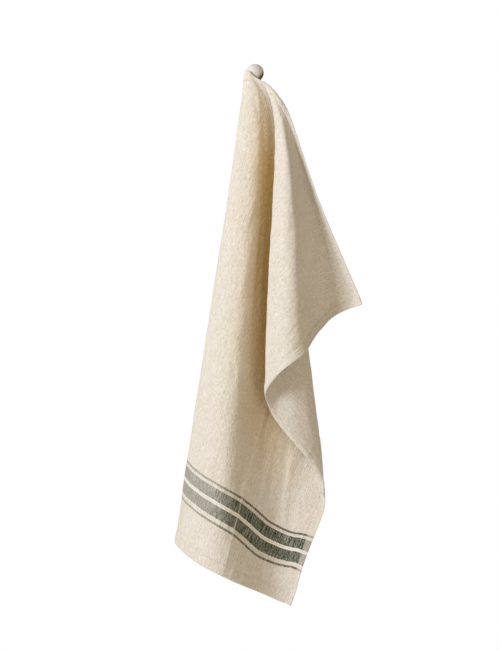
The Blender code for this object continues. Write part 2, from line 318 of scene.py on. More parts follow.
# Along the neck, a margin of cloth lies beyond the hem's path, up over the neck and down again.
WRAP_GAP = 0.6             # between the neck and the solid towel
SOLID_HALF = 0.5           # half the solid towel's thickness
NECK_WRAP = NECK_RADIUS + WRAP_GAP + SOLID_HALF
WRAP_TURN = math.radians(160)   # how far the margin lies round the neck before its end hangs down
MARGIN_SLOPE = 0.35        # how far that end leads sideways, as a share of its length

# The path of the top hem, round the head and back along the neck: a place on it for each `start`, and
# in `over` how much of the cloth is margin there.
Hem = namedtuple("Hem", "start x y z over")
HEM = [
    Hem(360,  17.0, -105.5, -14.0,  0),
    Hem(367,  13.0, -105.6, -11.3,  0),
    Hem(375,   8.2, -105.1,  -8.2,  0),
    Hem(383,   3.5, -103.0,  -5.3,  0),
    Hem(390,  -0.5, -100.0,  -2.7,  0),
    Hem(398,  -7.0,  -98.3,   0.3,  0),
    Hem(406, -13.0,  -95.5,   1.7,  0),
    Hem(414, -15.5,  -88.0,   1.6,  0),
    Hem(424, -13.0,  -78.5,   1.2,  0),
    Hem(436,  -8.0,  -69.0,   0.4,  5),
    Hem(448, -NECK_WRAP, -58.0, 0.0, 13),
    Hem(460, -NECK_WRAP, -47.0, 0.0, 20),
    Hem(475, -NECK_WRAP, -34.0, 0.0, 22),
    Hem(500, -NECK_WRAP, -13.0, 0.0, 22),
]


def spline_through(places, rows):
    """A smooth curve through rows of numbers at the given places, as a function of many places."""
    places = np.array(places, float)
    rows = np.array(rows, float)
    gaps = np.diff(places)
    slopes = np.diff(rows, axis=0) / gaps[:, None]
    matrix = np.eye(len(places))
    right_side = np.zeros_like(rows)
    for i in range(1, len(places) - 1):
        matrix[i, i - 1:i + 2] = gaps[i - 1], 2 * (gaps[i - 1] + gaps[i]), gaps[i]
        right_side[i] = 6 * (slopes[i] - slopes[i - 1])
    bends = np.linalg.solve(matrix, right_side)

    def at(wanted):
        i = np.clip(np.searchsorted(places, wanted, side="right") - 1, 0, len(gaps) - 1)
        along = (wanted - places[i])[:, None]
        gap = gaps[i][:, None]
        rise = slopes[i] - gap * (2 * bends[i] + bends[i + 1]) / 6
        return (rows[i] + along * rise + along ** 2 * bends[i] / 2
                + along ** 3 * (bends[i + 1] - bends[i]) / (6 * gap))

    return at


# Between the named rays lie as many as wanted. Their place is how far they lie along a section across
# them, 340 mm from the top hem.
ray_angles = np.radians([ray.angle for ray in RAYS])
section_u = np.array([ray.start for ray in RAYS]) - RAY_DISTANCES[2] * np.cos(ray_angles)
section_v = RAY_DISTANCES[2] * np.sin(ray_angles)
ray_places = np.concatenate([[0.0], np.cumsum(np.hypot(np.diff(section_u), np.diff(section_v)))])
ray_at = spline_through(ray_places, [ray[1:9] for ray in RAYS])
hem_at = spline_through([hem.start for hem in HEM], [hem[1:] for hem in HEM])
EVERY_RAY = np.linspace(0.0, ray_places[-1], FINE_RAYS)
EVERY_START, EVERY_ANGLE = ray_at(EVERY_RAY)[:, 0], np.radians(ray_at(EVERY_RAY)[:, 1])


def ray_through(u, v):
    """The ray that passes through each place on the cloth, and how far along it the place is."""
    place = np.empty(len(u))
    for row in np.unique(v):
        here = v == row
        depth = max(row, NEAREST_ROW)
        reached = EVERY_START - depth / np.tan(np.maximum(EVERY_ANGLE, 1e-6))
        place[here] = np.interp(u[here], reached, EVERY_RAY)
    ray = ray_at(place)
    return ray, np.hypot(ray[:, 0] - u, v)


def curve_weights(distances):
    """How much each of the RAY_DISTANCES counts at each distance: a cubic on a log scale."""
    knots = np.log1p(np.array(RAY_DISTANCES) / RAY_SCALE)
    places = np.log1p(distances / RAY_SCALE)
    weights = []
    for j, knot in enumerate(knots):
        others = np.delete(knots, j)
        weights.append(np.prod([(places - other) / (knot - other) for other in others], axis=0))
    return weights


def hem_sag(u, v):
    """The hem is slack beside the head and sags below it, so that dark shows between the two."""
    start, full, end = HEM_SAG_ACROSS
    starting = np.clip((u - start) / (full - start), 0, 1)
    share = np.minimum(starting, np.clip((end - u) / HEM_SAG_ENDS_IN, 0, 1))
    return HEM_SAG * share ** 2 * (3 - 2 * share) * np.exp(-(v / HEM_SAG_REACH) ** 2)


def hanging_place(u, v):
    """Where places on the flat cloth hang, in millimetres: the middle of the cloth, unwrinkled."""
    ray, distance = ray_through(u, v)
    from_corner = np.hypot(u, CLOTH_LENGTH - v)
    distance = distance - CORNER_DRAWN * np.exp(-(from_corner / CORNER_SPREAD) ** 2)
    eased = np.exp(-((v - EDGE_EASED_V) / EDGE_EASED_ALONG) ** 2 - (u / EDGE_EASED_REACH) ** 2)
    distance = distance + EDGE_EASED * eased
    hem = hem_at(ray[:, 0])
    over = np.maximum(hem[:, 3], 0.0)
    fallen = np.maximum(distance - over, 0.0)
    steps = np.linspace(0.0, 1.0, DROP_STEPS)[:, None] ** DROP_POWER * fallen
    weights = curve_weights(steps)
    x = weights[0] * hem[:, 0] + weights[1] * ray[:, 2] + weights[2] * ray[:, 3] + weights[3] * ray[:, 4]
    y = weights[0] * hem[:, 1] + weights[1] * ray[:, 5] + weights[2] * ray[:, 6] + weights[3] * ray[:, 7]
    length = np.diff(steps, axis=0)
    sideways = np.minimum(np.hypot(np.diff(x, axis=0), np.diff(y, axis=0)), MAX_SIDEWAYS * length)
    drop = np.sqrt(length ** 2 - sideways ** 2).sum(axis=0)
    place = np.stack([x[-1], y[-1], hem[:, 2] - drop], axis=1)

    wrap = np.maximum(-hem[:, 0], NECK_WRAP)
    beyond = np.maximum(over - distance, 0.0)
    turn = np.minimum(beyond / wrap, WRAP_TURN)
    hanging = beyond - turn * wrap
    place[:, 2] -= hem_sag(u, v)
    place[:, 0] += wrap * (1 - np.cos(turn)) + MARGIN_SLOPE * hanging
    place[:, 2] += wrap * np.sin(turn) - math.sqrt(1 - MARGIN_SLOPE ** 2) * hanging
    return place


FACING_REACH = 0.6         # how far round a place its slope is measured


def facing(u, v):
    """The cloth's direction outwards on its front, the face that its hems are turned onto."""
    low_u, high_u = np.maximum(u - FACING_REACH, 0.0), np.minimum(u + FACING_REACH, CLOTH_WIDTH)
    low_v, high_v = np.maximum(v - FACING_REACH, 0.0), np.minimum(v + FACING_REACH, CLOTH_LENGTH)
    across = hanging_place(high_u, v) - hanging_place(low_u, v)
    down = hanging_place(u, high_v) - hanging_place(u, low_v)
    normal = np.cross(across, down)
    return normal / np.maximum(np.linalg.norm(normal, axis=1), 1e-9)[:, None]


# Creases, each a soft ridge or trough from one place on the flat cloth to another. `lift` is its
# height towards the front face, `width` half its breadth and `bow` how far it bends sideways.
Crease = namedtuple("Crease", "name u1 v1 u2 v2 width lift bow")
CREASES = [
    Crease("pressed third",          178, 390, 150, 700,  4.6,  2.2,  0),
    Crease("beside pressed third",   166, 440, 140, 630,  5.0, -1.1,  2),
    Crease("inside the valley",      142, 465, 110, 610,  6.0,  1.8,  3),
    Crease("below the fold",         113, 475,  82, 615,  6.5, -1.9, -3),
    Crease("towards the corner",      92, 485,  60, 605,  6.0,  1.6,  4),
    Crease("right edge, low",         -8, 430,  -8, 660, 32.0,  6.2,  0),
    Crease("inside the right edge",   62, 440,  60, 655, 26.0, -2.6,  0),
    Crease("left of the press",      188, 480, 170, 585,  5.0, -1.4,  2),
    Crease("left of the band",       232, 540, 214, 700,  7.5, -1.4, -3),
    Crease("left turn, low",         288, 520, 268, 700,  8.0,  1.4,  4),
    Crease("crinkle, middle",        294, 362, 258, 398,  2.6,  0.9,  2),
    Crease("crinkle, under it",      296, 384, 256, 436,  3.0, -0.8, -3),
    Crease("crinkle, long",          262, 402, 226, 470,  3.5,  0.7,  5),
    Crease("crinkle, upper left",    318, 262, 300, 330,  4.0,  1.1, -3),
    Crease("crinkle, left",          330, 168, 322, 246,  4.0, -1.1,  3),
    Crease("below the peg, left",    405,  24, 396, 104,  2.6,  1.3,  2),
    Crease("below the peg, middle",  394,  20, 372,  78,  2.2, -1.1,  2),
    Crease("below the peg, right",   386,  24, 352,  96,  2.4,  1.3, -3),
    Crease("in the valley, long",    374,  50, 222, 382,  3.0,  3.4,  3),
    Crease("in the valley, left",    364,  83, 253, 351,  4.0, -2.8, -4),
    Crease("flap, at the top",       320,  30, 250,  74,  5.5, -1.2,  3),
    Crease("flap, long",             268,  46, 120, 116,  6.5,  1.4,  6),
    Crease("flap, middle",           214,  76, 100, 168,  7.0, -1.3, -5),
    Crease("flap, near the corner",   92,  40,  24,  96,  8.0,  1.3,  5),
    Crease("behind, left",           120, 262,  20, 330,  7.0,  1.6,  6),
    Crease("behind, right",          110, 330,  26, 420,  8.0, -1.6, -6),
]


# How tight the cloth is bunched depends on how far a place lies from the peg.
BUNCHED_U = 400.0          # where the peg is along the top hem
BUNCHED_SIZE = 45.0        # distances count in units of this,
BUNCHED_ENDS = 1.9         # and at this many units nothing is bunched


def bunched(u, v):
    """1 where the cloth is bunched tight round the peg, falling to 0 some centimetres away."""
    return np.clip(BUNCHED_ENDS - np.hypot((u - BUNCHED_U) / BUNCHED_SIZE, v / BUNCHED_SIZE), 0, 1)


# Washed linen is never quite flat: long soft waves down the warp, and small ones all over. Most of
# each is pulled out where the cloth is bunched. `layer` only keeps the two patterns apart.
Waves = namedtuple("Waves", "breadth length height layer")
WAVES = [Waves(15, 80, 0.65, 0.0), Waves(6, 10, 0.2, 5.0)]
PULLED_OUT = 0.85

# Each seam draws its hem up in small puckers, and the cloth sinks beside the hem. The stiff hems curl
# towards the front, the top hem most, but less at its corner and not at all beside the peg.
PUCKER_HEIGHT = 0.25
PUCKER_SPREAD = 4.0
PUCKER_LENGTH = 2.3
PUCKERS_VARY = (2.0, 19.0)     # by how much, and over what length
SUNK = {"top": 0.85, "lower": 0.25, "side": 0.4}
SUNK_BESIDE = 1.0              # from the hem's inner edge to the hollow's middle
SUNK_WIDTH = 1.8
TOP_CURL = 11.0
TOP_CURL_WIDTH = 30.0
TOP_CURL_AT_CORNER = 0.55      # as a share of the full curl, which it reaches
TOP_CURL_FULL_U = 150.0        # here,
TOP_CURL_ENDS_U = 345.0        # and it ends here,
TOP_CURL_FADES = 200.0         # after this long a stretch
SIDE_CURL = 2.6
SIDE_CURL_WIDTH = 6.5
ROLL_V = 262.0                 # where the flap's fold meets the side hem and rolls it backwards,
ROLL_LENGTH = 55.0             # this far each way
ROLL_BACK = 1.4                # and by this many times its curl


def relief(u, v):
    """How far the cloth stands out from its smooth hang at each place, in millimetres."""
    height = np.zeros(len(u))
    for crease in CREASES:
        along_u, along_v = crease.u2 - crease.u1, crease.v2 - crease.v1
        length = math.hypot(along_u, along_v)
        share = ((u - crease.u1) * along_u + (v - crease.v1) * along_v) / length ** 2
        aside = ((u - crease.u1) * along_v - (v - crease.v1) * along_u) / length
        aside = aside - crease.bow * 4 * share * (1 - share)
        fade = np.clip(share, 0, 1) * np.clip(1 - share, 0, 1) * 4
        height += crease.lift * np.exp(-(aside / crease.width) ** 2) * np.sqrt(fade)

    loose = 1 - bunched(u, v)
    for waves in WAVES:
        rise = [noise.noise((a / waves.breadth, b / waves.length, waves.layer)) for a, b in zip(u, v)]
        height += waves.height * np.array(rise) * (1 - PULLED_OUT * bunched(u, v))

    for along, inward, width, sunk in ((u, v, SHORT_HEM, SUNK["top"]),
                                       (u, CLOTH_LENGTH - v, SHORT_HEM, SUNK["lower"]),
                                       (v, u, SIDE_HEM, SUNK["side"]),
                                       (v, CLOTH_WIDTH - u, SIDE_HEM, SUNK["side"])):
        drawn = np.exp(-((inward - width + STITCH_IN) / PUCKER_SPREAD) ** 2) * loose
        phase = along / PUCKER_LENGTH + PUCKERS_VARY[0] * np.sin(along / PUCKERS_VARY[1])
        height += PUCKER_HEIGHT * drawn * np.sin(phase)
        height -= sunk * loose * np.exp(-((inward - width - SUNK_BESIDE) / SUNK_WIDTH) ** 2)

    from_corner = np.clip(u / TOP_CURL_FULL_U, 0, 1)
    near_corner = TOP_CURL_AT_CORNER + (1 - TOP_CURL_AT_CORNER) * from_corner
    near_peg = np.sin(np.clip((TOP_CURL_ENDS_U - u) / TOP_CURL_FADES, 0, 1) * math.pi / 2) ** 2
    height += TOP_CURL * np.clip(1 - v / TOP_CURL_WIDTH, 0, 1) ** 2 * near_corner * near_peg
    rolled = 1 - ROLL_BACK * np.exp(-((v - ROLL_V) / ROLL_LENGTH) ** 2)
    height += SIDE_CURL * rolled * np.clip(1 - u / SIDE_CURL_WIDTH, 0, 1) ** 2
    return height


# The deep valley lies round one ray, grows from the peg and fades out towards its lower end.
VALLEY_ANGLE = 66.0        # near the peg
VALLEY_TURN = 4.0          # degrees less,
VALLEY_TURNED = 400.0      # this far down
VALLEY_SPREAD = 5.0        # degrees to its right
VALLEY_SPREAD_LEFT = 7.0   # and to its left
VALLEY_FROM, VALLEY_TO = 12.0, 640.0           # how far down it starts and ends
VALLEY_GROWS, VALLEY_FADES = 130.0, 240.0      # over these lengths


def deep_fold(u, v):
    """How deep in the valley each place lies, from 0 outside it to 1 along its floor."""
    ray, distance = ray_through(u, v)
    angle = VALLEY_ANGLE - VALLEY_TURN * np.clip(distance / VALLEY_TURNED, 0, 1)
    aside = ray[:, 1] - angle
    beside = np.exp(-(aside / np.where(aside > 0, VALLEY_SPREAD_LEFT, VALLEY_SPREAD)) ** 2)
    starts = np.clip((distance - VALLEY_FROM) / VALLEY_GROWS, 0, 1)
    ends = np.clip((VALLEY_TO - distance) / VALLEY_FADES, 0, 1)
    return beside * starts * ends


def linen_piece(name, u, v, lift, faces, beyond=0.0):
    """An object of points on the hanging cloth, `lift` mm off its middle, with the flat cloth as its
    UVs. beyond is added to the places of points that lie outside the cloth's edge."""
    places = hanging_place(u, v) + facing(u, v) * (lift + relief(u, v))[:, None] + beyond
    mesh = bpy.data.meshes.new(name)
    mesh.from_pydata([tuple(place) for place in places * MM], [], faces)
    flat = mesh.uv_layers.new(name="flat cloth")
    corners = np.empty(len(mesh.loops), dtype=np.int32)
    mesh.loops.foreach_get("vertex_index", corners)
    flat.data.foreach_set("uv", np.stack([u[corners] * MM, v[corners] * MM], axis=1).ravel())
    for attribute, values in (("deep fold", deep_fold(u, v)), ("bunched", bunched(u, v))):
        mesh.attributes.new(attribute, "FLOAT", "POINT").data.foreach_set("value", values)
    mesh.shade_smooth()
    piece = bpy.data.objects.new(name, mesh)
    bpy.context.scene.collection.objects.link(piece)
    return piece


def spread(*stretches):
    """Grid lines from stretches of (from, to, spacing)."""
    lines = []
    for start, end, spacing in stretches:
        lines.extend(np.linspace(start, end, max(1, round((end - start) / spacing)), endpoint=False))
    lines.append(stretches[-1][1])
    return np.array(lines)


def grid_faces(rows, columns):
    """The four-cornered faces between the points of a grid, row after row."""
    faces = []
    for i in range(rows - 1):
        for j in range(columns - 1):
            corner = i * columns + j
            faces.append((corner, corner + 1, corner + columns + 1, corner + columns))
    return faces


# The grid is finest round the peg, where the cloth bends most.
columns = spread((0, 12, 1.5), (12, 330, 3.8), (330, 372, 1.9), (372, 425, 1.25),
                 (425, CLOTH_WIDTH, 3.2))
rows = spread((0, 40, 1.6), (40, 110, 2.3), (110, CLOTH_LENGTH, 3.1))
grid_u, grid_v = np.meshgrid(columns, rows)
towel = linen_piece("towel_cloth", grid_u.ravel(), grid_v.ravel(), 0.0,
                    grid_faces(len(rows), len(columns)))
body = towel.modifiers.new("cloth thickness", "SOLIDIFY")
body.thickness = CLOTH_THICKNESS * MM
body.offset = 0.0

# The linen's patterns, with the width (along u) and length (along v) of each. Real threads lie 0.7 mm
# apart and would be lost at the distance from which the cloth is seen, so the slubs, the specks and
# the weave are drawn about twice as coarse, and the mottling of the nap two or three times.
WARP_SLUB = (1.5385, 20.0)     # a thick stretch of a thread down the cloth
WEFT_SLUB = (16.667, 1.6129)   # and of one across it
WARP_SHARE = 3.0               # how much more the warp's slubs show than the weft's
SLUB_RANGE = (1.45, 2.55)      # both together, from the darkest thread to the palest
SLUB_HEIGHT = 1.3              # as a share of the weave's
CLOUD = 38.46                  # as wide as long
MOTTLE = (2.381, 5.263)
MOTTLE_RANGE = (0.42, 0.66)    # from the palest nap to the greyest
SPECK = (1.5625, 3.5714)
WEAVE_WAVE = 2.992             # one wave of the weave: a thread over and a thread under
WEAVE_HEIGHT = 0.5
WEAVE_SHOWS, WEAVE_LOSES = 0.5, 0.42         # how much it shows, and loses where bunched
CRINKLE = (7.143, 13.889)
CRINKLE_HEIGHT = 2.8
CRINKLE_SHOWS, CRINKLE_LOSES = 0.55, 0.45    # the same for the crinkles

# The woven band, two green stripes with a pale line between and a thin brown line to each side: where
# on the cloth each colour of weft starts and how much of it shows between the pale warp threads.
GREEN, BROWN, PALE = "33432b", "483f31", "f6f6ea"
BAND_START, BAND_END = 582.0, 644.0
WeftColour = namedtuple("WeftColour", "start colour cover")
BAND = [
    WeftColour(BAND_START, BROWN, 0.0),
    WeftColour(584.8, BROWN, 0.95),
    WeftColour(588.2, BROWN, 0.0),
    WeftColour(592.6, GREEN, 1.0),
    WeftColour(609.1, PALE, 0.9),
    WeftColour(614.3, GREEN, 1.0),
    WeftColour(631.2, BROWN, 0.0),
    WeftColour(637.6, BROWN, 0.95),
    WeftColour(641.0, BROWN, 0.0),
]
RAGGED = 1.4                   # how far the weft's edges step up and down from thread to thread
STREAKS = 1.6                  # how much more the warp's slubs pale the band than the specks do
STREAK_RANGE = (1.14, 1.65)    # both together, from where they start to the palest
STREAKED = 0.51                # what the palest streak leaves of the band's colour
FADES = (150.0, 235.0)         # where along u the band starts to fade and has faded
FADED = 0.62                   # to this share

# How much higher than straight the weft lies, from the right edge to the left. It is lowest 7 or 8 cm
# in from the right edge. The curve that holds it in the material spans BOW_RANGE.
WEFT_BOW = [(0, 0.5), (20, -3.0), (40, -9.5), (66, -14.0), (86, -14.0), (108, -10.0), (130, -4.5),
            (158, 0.5), (200, 3.0), (500, 17.5)]
BOW_RANGE = 50.0

# The highlight painted along the pressed crease's ridge, the first of the CREASES: how pale it is, its
# # half width where it starts to fade and ends, and how far below the crease's upper end it starts and
# is full.
PRESS = CREASES[0]
PRESS_LEAN = (PRESS.u1 - PRESS.u2) / (PRESS.v2 - PRESS.v1)
CREASE_HIGHLIGHT = 0.42
CREASE_HIGHLIGHT_HALF = (0.6, 2.0)
CREASE_HIGHLIGHT_BELOW = (20.0, 150.0)


def repeats(across, down):
    """The scale of a pattern on the flat cloth, from its width and length."""
    return (1 / (across * MM), 1 / (down * MM), 1.0)


def woven_linen(name, band_strength):
    """Undyed linen in plain weave: uneven slubby threads both ways, matt with a soft nap sheen. The
    band near one end is woven with dark green weft, and shows less on the layers of a hem."""
    material = bpy.data.materials.new(name)
    material.use_nodes = True
    shader = material.node_tree.nodes["Principled BSDF"]
    shader.inputs["Roughness"].default_value = 0.92
    shader.inputs["Sheen Weight"].default_value = 0.12
    shader.inputs["Sheen Roughness"].default_value = 0.6
    flat = add_node(material, "ShaderNodeUVMap", uv_map="flat cloth").outputs["UV"]
    places = add_node(material, "ShaderNodeSeparateXYZ", links={"Vector": flat})

    # Slubs: threads that run thick and thin, pale where they are thick.
    along_warp = add_node(material, "ShaderNodeMapping", links={"Vector": flat},
                          Scale=repeats(*WARP_SLUB))
    warp = add_node(material, "ShaderNodeTexNoise", links={"Vector": along_warp.outputs[0]},
                    Scale=1.0, Detail=2.5, Roughness=0.6)
    along_weft = add_node(material, "ShaderNodeMapping", links={"Vector": flat},
                          Scale=repeats(*WEFT_SLUB))
    weft = add_node(material, "ShaderNodeTexNoise", links={"Vector": along_weft.outputs[0]},
                    Scale=1.0, Detail=2.5, Roughness=0.6)
    both = add_node(material, "ShaderNodeMath", operation="MULTIPLY_ADD",
                    links={0: warp.outputs["Fac"], 2: weft.outputs["Fac"]}, _1=WARP_SHARE)
    thread = add_node(material, "ShaderNodeMapRange", links={"Value": both.outputs[0]},
                      **{"From Min": SLUB_RANGE[0], "From Max": SLUB_RANGE[1]})
    linen = add_node(material, "ShaderNodeValToRGB", links={"Fac": thread.outputs["Result"]})
    darkest, palest = linen.color_ramp.elements
    darkest.color, palest.color = linear("eae5dd"), linear("faf8f4")

    # Cloudy patches, a few centimetres across, where the flax took the bleach unevenly.
    clouds = add_node(material, "ShaderNodeTexNoise", links={"Vector": flat},
                      Scale=1 / (CLOUD * MM), Detail=4.0)
    cloudy = add_node(material, "ShaderNodeMix", data_type="RGBA", blend_type="MULTIPLY",
                      links={0: clouds.outputs["Fac"], 6: linen.outputs["Color"]}, _7=linear("f3f0ea"))

    # Fine mottling, as the nap of washed linen breaks up the light.
    napped = add_node(material, "ShaderNodeMapping", links={"Vector": flat}, Scale=repeats(*MOTTLE))
    nap = add_node(material, "ShaderNodeTexNoise", links={"Vector": napped.outputs[0]},
                   Scale=1.0, Detail=3.0, Roughness=0.7)
    mottling = add_node(material, "ShaderNodeMapRange", links={"Value": nap.outputs["Fac"]},
                        **{"From Min": MOTTLE_RANGE[0], "From Max": MOTTLE_RANGE[1]})
    mottled = add_node(material, "ShaderNodeMix", data_type="RGBA", blend_type="MULTIPLY",
                       links={0: mottling.outputs["Result"], 6: cloudy.outputs[2]}, _7=linear("ece9e4"))

    # Light that goes to and fro between folds turns brown, more than a render's few bounces give, so
    # the linen is tinted along the deep valley.
    valley = add_node(material, "ShaderNodeAttribute", attribute_name="deep fold")
    plain = add_node(material, "ShaderNodeMix", data_type="RGBA", blend_type="MULTIPLY",
                     links={0: valley.outputs["Fac"], 6: mottled.outputs[2]}, _7=linear("ffdf98"))

    # The band. Its weft lies in the bow of WEFT_BOW, which the curve holds from 0 to 1.
    across = add_node(material, "ShaderNodeMath", operation="DIVIDE",
                      links={0: places.outputs["X"]}, _1=CLOTH_WIDTH * MM)
    bow = add_node(material, "ShaderNodeFloatCurve", links={"Value": across.outputs[0]})
    curve = bow.mapping.curves[0]
    for end, (u, higher) in zip(curve.points, (WEFT_BOW[0], WEFT_BOW[-1])):
        end.location = (u / CLOTH_WIDTH, 0.5 + higher / BOW_RANGE)
    for u, higher in WEFT_BOW[1:-1]:
        curve.points.new(u / CLOTH_WIDTH, 0.5 + higher / BOW_RANGE)
    bow.mapping.update()
    middled = add_node(material, "ShaderNodeMath", operation="SUBTRACT",
                       links={0: bow.outputs[0]}, _1=0.5)
    bowed = add_node(material, "ShaderNodeMath", operation="MULTIPLY_ADD",
                     links={0: middled.outputs[0], 2: places.outputs["Y"]}, _1=BOW_RANGE * MM)
    ragged = add_node(material, "ShaderNodeMath", operation="MULTIPLY_ADD",
                      links={0: warp.outputs["Fac"], 2: bowed.outputs[0]}, _1=RAGGED * MM)
    across_band = add_node(material, "ShaderNodeMapRange", links={"Value": ragged.outputs[0]},
                           **{"From Min": (BAND_START + RAGGED / 2) * MM,
                              "From Max": (BAND_END + RAGGED / 2) * MM})
    band = add_node(material, "ShaderNodeValToRGB", links={"Fac": across_band.outputs["Result"]})
    ramp = band.color_ramp
    ramp.interpolation = "CONSTANT"
    ramp.elements.remove(ramp.elements[1])
    for i, weft_colour in enumerate(BAND):
        position = (weft_colour.start - BAND_START) / (BAND_END - BAND_START)
        stop = ramp.elements.new(position) if i > 0 else ramp.elements[0]
        stop.color = linear(weft_colour.colour)[:3] + (weft_colour.cover,)

    # Pale warp threads cross the band in streaks and specks, and it has faded where the left side
    # turns.
    small = add_node(material, "ShaderNodeMapping", links={"Vector": flat}, Scale=repeats(*SPECK))
    specks = add_node(material, "ShaderNodeTexNoise", links={"Vector": small.outputs[0]},
                      Scale=1.0, Detail=1.0)
    pale = add_node(material, "ShaderNodeMath", operation="MULTIPLY_ADD",
                    links={0: warp.outputs["Fac"], 2: specks.outputs["Fac"]}, _1=STREAKS)
    streaks = add_node(material, "ShaderNodeMapRange", links={"Value": pale.outputs[0]},
                       **{"From Min": STREAK_RANGE[0], "From Max": STREAK_RANGE[1],
                          "To Min": 1.0, "To Max": STREAKED})
    fading = add_node(material, "ShaderNodeMapRange", links={"Value": places.outputs["X"]},
                      interpolation_type="SMOOTHSTEP",
                      **{"From Min": FADES[0] * MM, "From Max": FADES[1] * MM,
                         "To Min": band_strength, "To Max": band_strength * FADED})
    shown = add_node(material, "ShaderNodeMath", operation="MULTIPLY",
                     links={0: band.outputs["Alpha"], 1: streaks.outputs["Result"]})
    cover = add_node(material, "ShaderNodeMath", operation="MULTIPLY",
                     links={0: shown.outputs[0], 1: fading.outputs["Result"]})
    striped = add_node(material, "ShaderNodeMix", data_type="RGBA",
                       links={0: cover.outputs[0], 6: plain.outputs[2], 7: band.outputs["Color"]})

    # A pale highlight is painted along the pressed crease's ridge, most of all where it crosses the
    # band.
    leaning = add_node(material, "ShaderNodeMath", operation="MULTIPLY_ADD",
                       links={0: places.outputs["Y"], 2: places.outputs["X"]}, _1=PRESS_LEAN)
    beside = add_node(material, "ShaderNodeMath", operation="SUBTRACT",
                      links={0: leaning.outputs[0]}, _1=(PRESS.u1 + PRESS_LEAN * PRESS.v1) * MM)
    off_ridge = add_node(material, "ShaderNodeMath", operation="ABSOLUTE", links={0: beside.outputs[0]})
    highlight_near_ridge = add_node(material, "ShaderNodeMapRange", links={"Value": off_ridge.outputs[0]},
                      **{"From Min": CREASE_HIGHLIGHT_HALF[0] * MM, "From Max": CREASE_HIGHLIGHT_HALF[1] * MM,
                         "To Min": CREASE_HIGHLIGHT, "To Max": 0.0})
    below_top = add_node(material, "ShaderNodeMapRange", links={"Value": places.outputs["Y"]},
                         **{"From Min": (PRESS.v1 + CREASE_HIGHLIGHT_BELOW[0]) * MM,
                            "From Max": (PRESS.v1 + CREASE_HIGHLIGHT_BELOW[1]) * MM})
    paled = add_node(material, "ShaderNodeMath", operation="MULTIPLY",
                     links={0: highlight_near_ridge.outputs["Result"], 1: below_top.outputs["Result"]})
    with_painted_light = add_node(material, "ShaderNodeMix", data_type="RGBA",
                    links={0: paled.outputs[0], 6: striped.outputs[2]}, _7=linear("fbf7ef"))
    material.node_tree.links.new(with_painted_light.outputs[2], shader.inputs["Base Color"])

    # Fine crinkles that washing left, drawn out down the cloth, and on them the weave itself, over and
    # under, with its slubs. Both are pulled smooth where the cloth is bunched round the peg.
    tight = add_node(material, "ShaderNodeAttribute", attribute_name="bunched")
    drawn_out = add_node(material, "ShaderNodeMapping", links={"Vector": flat}, Scale=repeats(*CRINKLE))
    crinkles = add_node(material, "ShaderNodeTexNoise", links={"Vector": drawn_out.outputs[0]},
                        Scale=1.0, Detail=3.0, Distortion=0.4)
    smoother = add_node(material, "ShaderNodeMath", operation="MULTIPLY_ADD",
                        links={0: tight.outputs["Fac"]}, _1=-CRINKLE_LOSES, _2=CRINKLE_SHOWS)
    crinkled = add_node(material, "ShaderNodeBump", Distance=CRINKLE_HEIGHT * MM,
                        links={"Height": crinkles.outputs["Fac"], "Strength": smoother.outputs[0]})
    over, under = [add_node(material, "ShaderNodeTexWave", links={"Vector": flat},
                            bands_direction=direction, Scale=WAVE_REPEAT / (WEAVE_WAVE * MM),
                            Distortion=0.6) for direction in "XY"]
    weave = add_node(material, "ShaderNodeMath", operation="MULTIPLY",
                     links={0: over.outputs["Fac"], 1: under.outputs["Fac"]})
    height = add_node(material, "ShaderNodeMath", operation="MULTIPLY_ADD",
                      links={0: thread.outputs["Result"], 2: weave.outputs[0]}, _1=SLUB_HEIGHT)
    flatter = add_node(material, "ShaderNodeMath", operation="MULTIPLY_ADD",
                       links={0: tight.outputs["Fac"]}, _1=-WEAVE_LOSES, _2=WEAVE_SHOWS)
    bump = add_node(material, "ShaderNodeBump", Distance=WEAVE_HEIGHT * MM,
                    links={"Height": height.outputs[0], "Strength": flatter.outputs[0],
                           "Normal": crinkled.outputs["Normal"]})
    material.node_tree.links.new(bump.outputs["Normal"], shader.inputs["Normal"])
    return material


towel.data.materials.append(woven_linen("undyed woven linen", 1.0))
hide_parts("towel")
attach(towel, "root")


# ---------------------------------------------------------------------------------------------
# The hems. Each edge of the linen is turned over twice onto the front, pressed and stitched down, and
# lies three layers thick. The side hems were turned first, and the short hems lie over their ends.
# ---------------------------------------------------------------------------------------------

# The profile of a hem, from its inner edge round the fold to the back: the share of the hem's width
# in from the edge, a further distance in, and the height above the middle of the cloth.
HEM_PROFILE = [
    (1.0,  0.25,  0.20),
    (1.0,  0.05,  0.95),
    (1.0, -0.60,  1.30),
    (1.0, -1.50,  1.02),
    (1.0, -2.60,  1.34),
    (0.5,  0.00,  1.38),
    (0.0,  3.80,  1.38),
    (0.0,  2.00,  1.36),
    (0.0,  0.60,  1.22),
    (0.0, -0.30,  0.90),
    (0.0, -0.72,  0.35),
    (0.0, -0.60, -0.15),
    (0.0, -0.10, -0.46),
    (0.0,  0.90, -0.30),
]
HEM_STEP = 2.4
STACKED_HEIGHT = 0.9       # how much higher the short hems lie over the side hems,
STACKED_PAST = 1.5         # to this far past them,
STACKED_SLOPE = 2.5        # and coming down over this length
PRESSED_FLAT = 0.65        # the share of its height that a hem loses where the peg bunches it
HEM_BAND = 0.55            # how much of the woven band shows on a hem's upper layers

# A border of the cloth: how long it is, how wide its hem, whether the hem's faces have to be turned
# round to point outwards, and where on the cloth a place along and inward from it lies.
Border = namedtuple("Border", "name length width turned place")
BORDERS = [
    Border("right_hem", CLOTH_LENGTH, SIDE_HEM, False,
           lambda along, inward: (inward, along)),
    Border("left_hem", CLOTH_LENGTH, SIDE_HEM, True,
           lambda along, inward: (CLOTH_WIDTH - inward, along)),
    Border("top_hem", CLOTH_WIDTH, SHORT_HEM, True,
           lambda along, inward: (along, inward)),
    Border("lower_hem", CLOTH_WIDTH, SHORT_HEM, False,
           lambda along, inward: (along, CLOTH_LENGTH - inward)),
]


